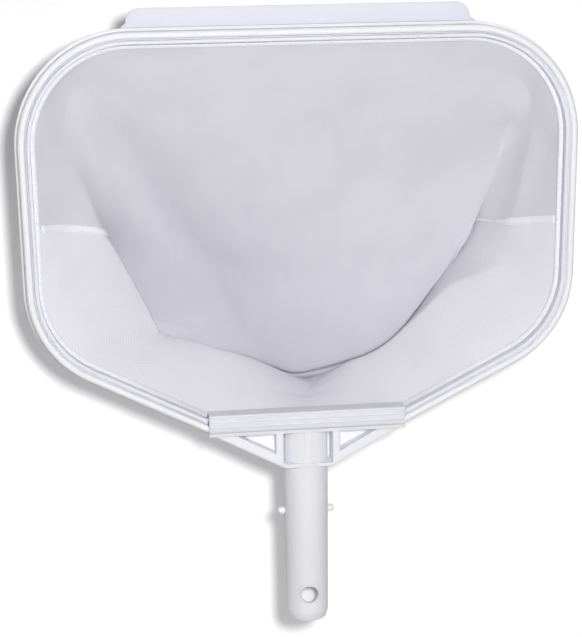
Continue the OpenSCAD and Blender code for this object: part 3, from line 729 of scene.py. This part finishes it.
# The front panel's lines at those stations, as (x, y, z)
FRONT_LINES = [
    # Half way to the fold
    [SEAM_LEFT[1], (-150, 180, -9), (-154.5, 206, -7), (-146, 244, -4), (-103.5, 259, -1.5),
     (-52, 259, -0.5), (0, 259, -0.5), (52, 259, -0.5), (103.5, 259, -1.5), (144, 243.5, -3),
     (158, 207, -7), (156, 184, -8.5), (154, 167, -9.5), SEAM_RIGHT[1]],
    # The fold inside the rim
    [SEAM_LEFT[2], (-132, 173, -21.5), (-142.5, 207, -18.5), (-139, 238, -12), (-101, 250, -5),
     (-51, 250, -4), (0, 250, -3.5), (51, 250, -3.5), (101, 250, -5), (142, 238, -8),
     (150.4, 208, -15.5), (147.3, 187, -18), (143.5, 165, -20.5), SEAM_RIGHT[2]],
    # The wall below the fold
    [SEAM_LEFT[3], (-121, 164, -37), (-131, 197, -29), (-127, 224, -21), (-94, 230, -14),
     (-49, 230, -11), (0, 230, -10), (49, 230, -10), (97, 230, -11.5), (136, 225, -15),
     (145.5, 207, -23), (141.5, 185, -28), (136.5, 163, -33), SEAM_RIGHT[3]],
    # The foot of that wall, and the valley on the left
    [SEAM_LEFT[4], (-104, 152, -56), (-112, 182, -45), (-108, 205, -35), (-86, 205, -25),
     (-46, 205, -19), (0, 205, -18), (46, 205, -18.5), (90, 207, -20), (125, 208, -24),
     (139.5, 206, -31), (134, 181, -38), (128.3, 160, -45), SEAM_RIGHT[4]],
    [SEAM_LEFT[5], (-84, 135, -72), (-91, 163, -58), (-84, 172, -50), (-68, 172, -40),
     (-38, 172, -33), (0, 172, -30), (38, 172, -30), (76, 174, -32), (106, 174, -36),
     (126, 172, -40.5), (126, 158, -45), (123.5, 147, -49.5), SEAM_RIGHT[5]],
    [SEAM_LEFT[6], (-70, 108, -84), (-69, 130, -74), (-62, 138, -66), (-50, 138, -57),
     (-28, 138, -50), (0, 138, -45), (30, 138, -42), (62, 139, -41), (88, 140, -43),
     (108, 138, -46), (114, 135, -48.5), (118.5, 133, -50), SEAM_RIGHT[6]],
    [SEAM_LEFT[7], (-58, 84, -92), (-46, 96, -86), (-40, 102, -80), (-30, 104, -74),
     (-14, 104, -67), (6, 104, -60), (28, 103, -54.5), (54, 104, -50), (76, 108, -48.5),
     (96, 114, -49.5), (106, 120, -50.5), (113, 124, -51.5), SEAM_RIGHT[7]],
    # The crest in front of the ledge
    [SEAM_LEFT[8], (-54, 64, -97), (-38, 57, -94.5), (-26, 50, -92), (-12, 43.5, -88),
     (2.8, 38.5, -80), (15, 41.3, -75), (33.7, 48, -67), (62.3, 59.3, -57), (82, 82.3, -53),
     (91.5, 96, -52), (101, 107.8, -51), (109, 117.5, -51.5), SEAM_RIGHT[8]],
    # Down behind the crest
    [SEAM_LEFT[9], (-60, 54, -100), (-42, 49, -98.5), (-28, 45.5, -97.5), (-12, 42, -95.5),
     (2.8, 40, -92), (17, 41.5, -89), (34, 46, -84), (60.5, 55.5, -78), (80.5, 73.5, -78),
     (91, 88, -77), (99, 99.5, -77), (105, 104, -81), SEAM_RIGHT[9]],
    # The flat strip beside the bottom seam
    [bottom(share, FLAT_W) for share in FRONT_SHARES],
    [bottom(share) for share in FRONT_SHARES],
]

# Round the back from the left seam to the right one
REAR_HEM = [
    (-164, 157), (-163.7, 128), (-162.6, 103), (-153, 83), (-133, 70), (-98, 52.4), (-62.5, 34.4),
    (-31, 34.4), (0, 34.4), (31, 34.4), (62.5, 34.4), (98, 52.4), (133, 70), (153, 83),
    (162.6, 103), (164, 152),
]
REAR_SHARES = (
    -1, -0.97, -0.93, -0.87, -0.78, -0.62, -0.42, -0.18, 0.08, 0.33, 0.55, 0.74, 0.87, 0.94, 0.975, 1,
)
REAR_LINES = [
    # Half way to the ledge's edge
    [SEAM_LEFT[1], (-140, 130, -11), (-134, 107, -12), (-124, 88, -12), (-110, 76, -11),
     (-85, 64, -11), (-57, 51, -11), (-30, 47, -11), (2, 39, -13), (32, 44, -11),
     (58, 49, -11), (87, 66, -12), (118, 87, -12), (140, 99, -11), (150, 116, -10),
     SEAM_RIGHT[1]],
    # The ledge's edge
    [SEAM_LEFT[2], (-112, 131, -24), (-101, 109, -25), (-92, 90, -26), (-86, 81, -26),
     (-70, 77, -26), (-51, 70, -26), (-28, 61.5, -27), (9, 42, -33), (33, 56.4, -28.5),
     (53, 65, -27), (77, 84, -27), (100, 105, -26), (124, 115, -24), (136, 126, -23),
     SEAM_RIGHT[2]],
    # The wall below the ledge
    [SEAM_LEFT[4], (-127, 100, -52), (-120, 92, -50), (-110, 80, -50), (-98, 68, -50),
     (-78, 60, -50), (-55, 55, -51), (-30, 50, -53), (10, 38.5, -58), (34, 47.5, -56),
     (60, 55, -54), (82.7, 81.7, -53), (100.7, 108.4, -51.5), (108.8, 118.4, -51), (117, 129, -49),
     SEAM_RIGHT[4]],
    [SEAM_LEFT[6], (-125, 88, -84), (-121, 78, -84), (-112, 64, -82), (-98, 54, -82),
     (-78, 48, -82), (-56, 42, -83), (-30, 36, -84), (10, 31, -86), (36, 37.5, -84),
     (63, 49, -80), (84, 70.5, -78), (101, 96.5, -78), (107.5, 103, -78), (112, 110, -76),
     SEAM_RIGHT[6]],
    [SEAM_LEFT[8], (-104, 72, -98.5), (-102, 66, -98.5), (-94, 57, -98.5), (-82, 49, -98.5),
     (-66, 42, -98.5), (-46, 36, -98.5), (-24, 32, -98.5), (8, 30, -98), (34, 33, -98),
     (58, 41, -98), (79, 54, -97), (94, 69, -96), (98.5, 76, -96), (100.5, 81, -95.5),
     SEAM_RIGHT[8]],
    # The flat strip beside the bottom seam
    [bottom(share, -FLAT_W) for share in REAR_SHARES],
    [bottom(share) for share in REAR_SHARES],
]


def curve(points, per_span, bend=None):
    """A smooth line through rows of points, with per_span steps from each to the next. bend scales
    the tangent at each point: 1 is round, and 0 a sharp corner."""
    points = np.asarray(points, float)
    count = len(points)
    ends = np.concatenate([[2 * points[0] - points[1]], points, [2 * points[-1] - points[-2]]])
    tangents = (ends[2:] - ends[:-2]) / 2
    if bend is not None:
        tangents = tangents * np.reshape(bend, (count,) + (1,) * (points.ndim - 1))
    t = np.linspace(0, 1, per_span, endpoint=False).reshape((-1,) + (1,) * (points.ndim - 1))
    made = [
        (2 * t**3 - 3 * t**2 + 1) * points[i]
        + (t**3 - 2 * t**2 + t) * tangents[i]
        + (3 * t**2 - 2 * t**3) * points[i + 1]
        + (t**3 - t**2) * tangents[i + 1]
        for i in range(count - 1)
    ]
    return np.concatenate(made + [points[-1:]])


def hem_line(stations, front):
    """A panel's top edge, along the rim and in step with its stations."""
    loop = rim_loop(NET_IN)
    if front:
        half = len(loop) // 2
        loop = np.concatenate([loop[half:], loop[1 : half + 1]])
    else:
        loop = loop[::-1]
    at = [length_at(loop, np.array(p)) for p in stations]
    steps = np.arange((len(at) - 1) * PER_SPAN + 1) / PER_SPAN
    flat = along(loop, np.interp(steps, np.arange(len(at)), at))
    return np.column_stack([flat, np.full(len(flat), LEDGE_Z - EDGE_DROP)])


def panel_points(stations, lines, front, bends, notch=None):
    """The sheet as a grid of points: rows from the hem to the bottom seam. notch is the station
    where its upper lines turn a corner."""
    turns = np.ones(len(stations))
    if notch is not None:
        turns[notch] = NOTCH_BEND
    rows = [hem_line(stations, front)]
    rows += [curve(line, PER_SPAN, turns if i < NOTCH_LINES else None) for i, line in enumerate(lines)]
    return curve(np.stack(rows), PER_ROW, bends)


def make_mesh(name, points, faces, material, flat=None):
    """A smooth mesh of points in millimetres, which rides on the head. flat is where each point
    lies on the flat cloth, in millimetres."""
    mesh = bpy.data.meshes.new(name)
    mesh.from_pydata((points * MM).tolist(), [], faces)
    if flat is not None:
        layer = mesh.uv_layers.new(name="cloth")
        corners = np.array([v for face in faces for v in face])
        layer.data.foreach_set("uv", flat[corners].astype(np.float32).ravel())
    mesh.polygons.foreach_set("use_smooth", [True] * len(faces))
    mesh.materials.append(material)
    made = bpy.data.objects.new(name, mesh)
    bpy.context.scene.collection.objects.link(made)
    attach(made, "head")
    return made


def make_grid(name, grid, material):
    """A sheet over a grid of points. Its lengths across are those of the row a third of the way down."""
    rows, columns = grid.shape[:2]
    faces = [
        (a, a + columns, a + columns + 1, a + 1)
        for r in range(rows - 1)
        for a in range(r * columns, r * columns + columns - 1)
    ]
    across = lengths_of(grid[rows // 3])
    down = np.r_[0, np.cumsum(np.linalg.norm(np.diff(grid, axis=0), axis=2).mean(axis=1))]
    flat = np.stack(np.meshgrid(across, down), -1).reshape(-1, 2)
    return make_mesh(name, grid.reshape(-1, 3), faces, material, flat)


def rumple(grid, height, size):
    """Small soft dents along the sheet's own normal, none at its edges."""
    normals = sheet_normals(grid)
    rows, columns = grid.shape[:2]
    r = np.arange(rows)[:, None] / (rows - 1)
    c = np.arange(columns)[None, :] / (columns - 1)
    fade = np.clip(r / DENT_FADE[0], 0, 1) * np.clip((1 - r) / DENT_FADE[0], 0, 1)
    fade = fade * np.clip(c / DENT_FADE[1], 0, 1) * np.clip((1 - c) / DENT_FADE[1], 0, 1)
    dents = np.array([[noise.fractal(Vector(p / size), *DENT_LAYERS) for p in row] for row in grid])
    return grid + normals * (dents * fade * height)[:, :, None]


def snap_edges(grid, left, right):
    """Sets both edge columns on the side seams, so that the two panels meet there."""
    fades = np.linspace(1, 0, EDGE_COLUMNS)[:, None]
    for row in grid[1:]:
        for side, seam in ((row[:EDGE_COLUMNS], left), (row[::-1][:EDGE_COLUMNS], right)):
            near = seam[np.argmin(np.linalg.norm(seam - side[0], axis=1))]
            side += fades * (near - side[0])
    return grid


def smooth_across(grid, rows, columns, times):
    """Evens out the sheet across, between these rows and columns."""
    r = np.arange(grid.shape[0])[:, None]
    c = np.arange(grid.shape[1])[None, :]
    share = 1.0
    for place, (start, end) in ((r, rows), (c, columns)):
        share = share * np.clip((place - start) / EVEN_FADE, 0, 1)
        share = share * np.clip((end - place) / EVEN_FADE, 0, 1)
    for _ in range(times):
        even = grid.copy()
        even[:, 1:-1] = (grid[:, :-2] + 2 * grid[:, 1:-1] + grid[:, 2:]) / 4
        grid = grid + (even - grid) * share[:, :, None]
    return grid


def fold_in(grid, crease, depth, width):
    """A soft crease: the sheet moves along its own normal near a line of points."""
    line = curve(crease, CREASE_STEPS)
    away = np.linalg.norm(grid[:, :, None, :] - line[None, None], axis=3).min(axis=2)
    return grid + sheet_normals(grid) * (depth * np.exp(-((away / width) ** 2)))[:, :, None]


def sheet_normals(grid):
    """Unit normals of a grid of points: into the bag from the rear panel, out of it from the front."""
    normals = np.cross(np.gradient(grid, axis=1), np.gradient(grid, axis=0))
    normals /= np.maximum(np.linalg.norm(normals, axis=2, keepdims=True), TINY)
    return normals


seam_left_line = curve(SEAM_LEFT, SEAM_STEPS)
seam_right_line = curve(SEAM_RIGHT, SEAM_STEPS)
front_grid = panel_points(FRONT_HEM, FRONT_LINES, True, FRONT_BENDS)
front_grid = smooth_across(front_grid, EVEN_ROWS, EVEN_COLUMNS, EVEN_TIMES)
rear_grid = panel_points(REAR_HEM, REAR_LINES, False, REAR_BENDS, REAR_NOTCH)
front_grid = snap_edges(front_grid, seam_left_line, seam_right_line)
rear_grid = snap_edges(rear_grid, seam_left_line, seam_right_line)
for crease, crease_depth, crease_width in REAR_CREASES:
    rear_grid = fold_in(rear_grid, crease, crease_depth, crease_width)
front_grid = rumple(front_grid, *FRONT_DENTS)
rear_grid = rumple(rear_grid, *REAR_DENTS)


def make_panel(name, grid, node, material):
    """A panel over its grid of points, which hides the CAD's own piece of it."""
    panel = make_grid(name, grid, material)
    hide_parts(node)


# ---------------------------------------------------------------------------------------------
# Hem, seam tapes and stitches
# ---------------------------------------------------------------------------------------------

UP = (0.0, 0.0, 1.0)
BACK = (0.0, -1.0, 0.0)
# A tape's section, with rounded edges, in shares of its width and of its thickness
TAPE_SECTION = [(0, 0.15), (0, 0.75), (0.06, 1), (0.94, 1), (1, 0.75), (1, 0.15), (0.5, 0)]
# A stitch, in shares of its length and of the thread's thickness: where its rings are along it, how
# far they rise, and how thick they are. Its ends dip into the cloth
STITCH_ALONG = (0, 0.25, 0.5, 0.75, 1)
STITCH_RISE = (-0.3, 0.35, 0.5, 0.35, -0.3)
STITCH_GIRTH = (0.6, 1, 1, 1, 0.6)
THREAD_SIDES = 6
# The side tapes stop this many rows above the bottom seam
TAPE_STOP = 12


def one_way(way, line):
    """The same direction for every point of a line."""
    return np.tile(way, (len(line), 1))


def recalculate(mesh):
    """Turns every face outward."""
    shape = bmesh.new()
    shape.from_mesh(mesh)
    bmesh.ops.recalc_face_normals(shape, faces=shape.faces)
    shape.to_mesh(mesh)
    shape.free()


def tube_faces(count, sides, first=0):
    """The faces of a closed tube of count rings of points, numbered on from first."""
    rings = [range(first + sides * i, first + sides * (i + 1)) for i in range(count)]
    walls = [
        (low[k], low[(k + 1) % sides], high[(k + 1) % sides], high[k])
        for low, high in zip(rings, rings[1:])
        for k in range(sides)
    ]
    return walls + [tuple(rings[0])[::-1], tuple(rings[-1])]


def make_band(name, inner, outer, lift, thick, material, node=None):
    """A closed tape between two lines of points. lift is the way its upper side faces, one for
    each point."""
    sides = len(TAPE_SECTION)
    edges = [inner + (outer - inner) * across + lift * (high * thick) for across, high in TAPE_SECTION]
    points = np.stack(edges, axis=1).reshape(-1, 3)
    # Its ribs follow only the length along it, so the other value is just the point's number
    flat = np.array([(k, length) for length in lengths_of(inner) for k in range(sides)])
    made = make_mesh(name, points, tube_faces(len(inner), sides), material, flat)
    recalculate(made.data)
    if node:
        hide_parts(node)
    return made


def make_stitches(name, lines):
    """Thread along lines of points, each given with its upward directions: a row of short stitches."""
    points = []
    faces = []
    for line, up in lines:
        total = line_length(line)
        for start in np.arange(STITCH_STEP / 2, total - STITCH_LEN, STITCH_STEP):
            places = start + STITCH_LEN * np.array(STITCH_ALONG)
            rise = along(up, np.interp(places, [0, total], [0, line_length(up)]))
            rise /= np.linalg.norm(rise, axis=1, keepdims=True)
            core = along(line, places) + rise * (THREAD_D * np.array(STITCH_RISE))[:, None]
            side = np.cross(core[-1] - core[0], rise[len(rise) // 2])
            side /= np.linalg.norm(side)
            faces += tube_faces(len(core), THREAD_SIDES, len(points))
            for middle, lift, share in zip(core, rise, STITCH_GIRTH):
                girth = THREAD_D / 2 * share
                for turn in np.arange(THREAD_SIDES) * 2 * math.pi / THREAD_SIDES:
                    points.append(middle + girth * (math.cos(turn) * side + math.sin(turn) * lift))
    made = make_mesh(name, np.array(points), faces, THREAD)
    recalculate(made.data)
    return made


def open_rim(inset, z):
    """The rim's line from the yoke's left side round the front to its right side."""
    half = rim_half(inset)[:-2]
    end = corner(beam_side(inset), (0, YOKE_X))
    half = np.concatenate([half, [end]])
    whole = np.concatenate([(half * [-1, 1])[::-1], half[1:]])
    return np.column_stack([whole, np.full(len(whole), float(z))])


def make_hem():
    """The net's folded edge, on the ledge and under the strip."""
    outer = open_rim(HEM_FROM, HEM_LOW)
    inner = open_rim(HEM_TO, HEM_LOW)
    return make_band("hem_tape", outer, inner, one_way(UP, outer), HEM_THICK, NET_TAPE, "net_hem")


def make_bar_hem():
    """The net's folded edge where it stands behind the clamp bar."""
    line = np.array([(x, BAR_Y - BAR_HEM_BACK, 0) for x in np.linspace(-YOKE_X, YOKE_X, BAR_HEM_POINTS)])
    low = line + [0, 0, LEDGE_Z]
    high = line + [0, 0, YOKE_TOP]
    return make_band("bar_hem", low, high, one_way(BACK, line), BAR_HEM_T, NET_TAPE)


def make_selvage():
    """The net's own edge, which stands in the gap between the rim's wall and the strip."""
    line = open_rim(SELVAGE_IN, HEM_LOW + HEM_T)
    # From a line 1 mm further in, so that it is 1 mm long
    outward = line - open_rim(SELVAGE_IN + 1, HEM_LOW + HEM_T)
    low = line - outward * SELVAGE_T
    high = low + [0, 0, SELVAGE_H]
    return make_band("net_selvage", low, high, outward, SELVAGE_T, NET_TAPE)


def make_hem_stitches():
    line = open_rim(HEM_TO - HEM_STITCH_IN, HEM_LOW + HEM_THICK)
    return make_stitches("hem_stitches", [(line, one_way(UP, line))])


def beside_edge(grid, column, distance):
    """The points a set distance in from a grid's first or last column, row by row."""
    rows = grid if column == 0 else grid[:, ::-1]
    return np.array([along(row, [distance])[0] for row in rows])


def make_side_tape(side):
    """The tape inside a side seam, from the hem down to the bottom, and its two rows of stitches.
    Below the fold it is folded narrower."""
    column = 0 if side == "left" else -1
    seam = front_grid[:, column]
    front_side = beside_edge(front_grid, column, TAPE_W / 2)
    rear_edge = rear_grid[:, column]
    rear_line = beside_edge(rear_grid, column, TAPE_W / 2)
    places = np.array([length_at(rear_edge, p) for p in seam])
    rear_side = between(places, lengths_of(rear_edge), rear_line)
    rows = len(seam)
    keep = slice(1, rows - TAPE_STOP)
    narrow = np.interp(np.arange(rows), (FOLD_ROW, FOLD_ROW + PER_ROW), (1, FOLDED_SHARE))[keep, None]
    seam = seam[keep]
    front_side = seam + (front_side[keep] - seam) * narrow
    rear_side = seam + (rear_side[keep] - seam) * narrow
    up = np.cross(np.gradient(seam, axis=0), front_side - rear_side) * (1 if side == "left" else -1)
    up /= np.linalg.norm(up, axis=1, keepdims=True)
    lift = up * TAPE_LIFT
    name = "seam_tape_" + side
    tape = make_band(name, front_side + lift, rear_side + lift, up, TAPE_T, TAPE, "side_seam_" + side)
    top = lift + up * TAPE_T
    lines = [
        (front_side * (1 - share) + rear_side * share + top, up) for share in (STITCH_IN, 1 - STITCH_IN)
    ]
    return tape, make_stitches(name + "_stitches", lines)


def make_floor_tape():
    """The tape inside the bottom seam, and its two rows of stitches."""
    shares = np.linspace(-FLOOR_TAPE_SHARE, FLOOR_TAPE_SHARE, FLOOR_TAPE_POINTS)
    line = np.array([bottom(share) for share in shares]) + [0, 0, TAPE_LIFT]
    up = one_way(UP, line)
    half = np.array([0, TAPE_W / 2, 0])
    tape = make_band("floor_tape", line + half, line - half, up, TAPE_T, TAPE, "bottom_seam")
    away = TAPE_W * (0.5 - STITCH_IN)
    lines = [(line + [0, side * away, TAPE_T], up) for side in (-1, 1)]
    return tape, make_stitches("floor_tape_stitches", lines)


hem = make_hem()
bar_hem = make_bar_hem()
selvage = make_selvage()
hem_stitches = make_hem_stitches()
left_tape, left_stitches = make_side_tape("left")
right_tape, right_stitches = make_side_tape("right")
floor_tape, floor_stitches = make_floor_tape()
make_panel(
    "net_front",
    front_grid,
    "net_front_panel",
    FRONT_NET,
)
make_panel("net_rear", rear_grid, "net_rear_panel", REAR_NET)

# ---------------------------------------------------------------------------------------------
# The CAD's own solids, which keep their shapes and get their finishes here
# ---------------------------------------------------------------------------------------------

FINISHES = {
    "frame": FRAME_PLASTIC,
    "retaining_strip": STRIP_PLASTIC,
    "clamp_bar": STRIP_PLASTIC,
    "scoop_lip": LIP_PLASTIC,
    "clip_bend": CLIP_PLASTIC,
    "button_arm_left": CLIP_PLASTIC,
    "button_arm_right": CLIP_PLASTIC,
}
for node_name, finish in FINISHES.items():
    mesh = nodes[node_name].data
    mesh.materials.clear()
    mesh.materials.append(finish)
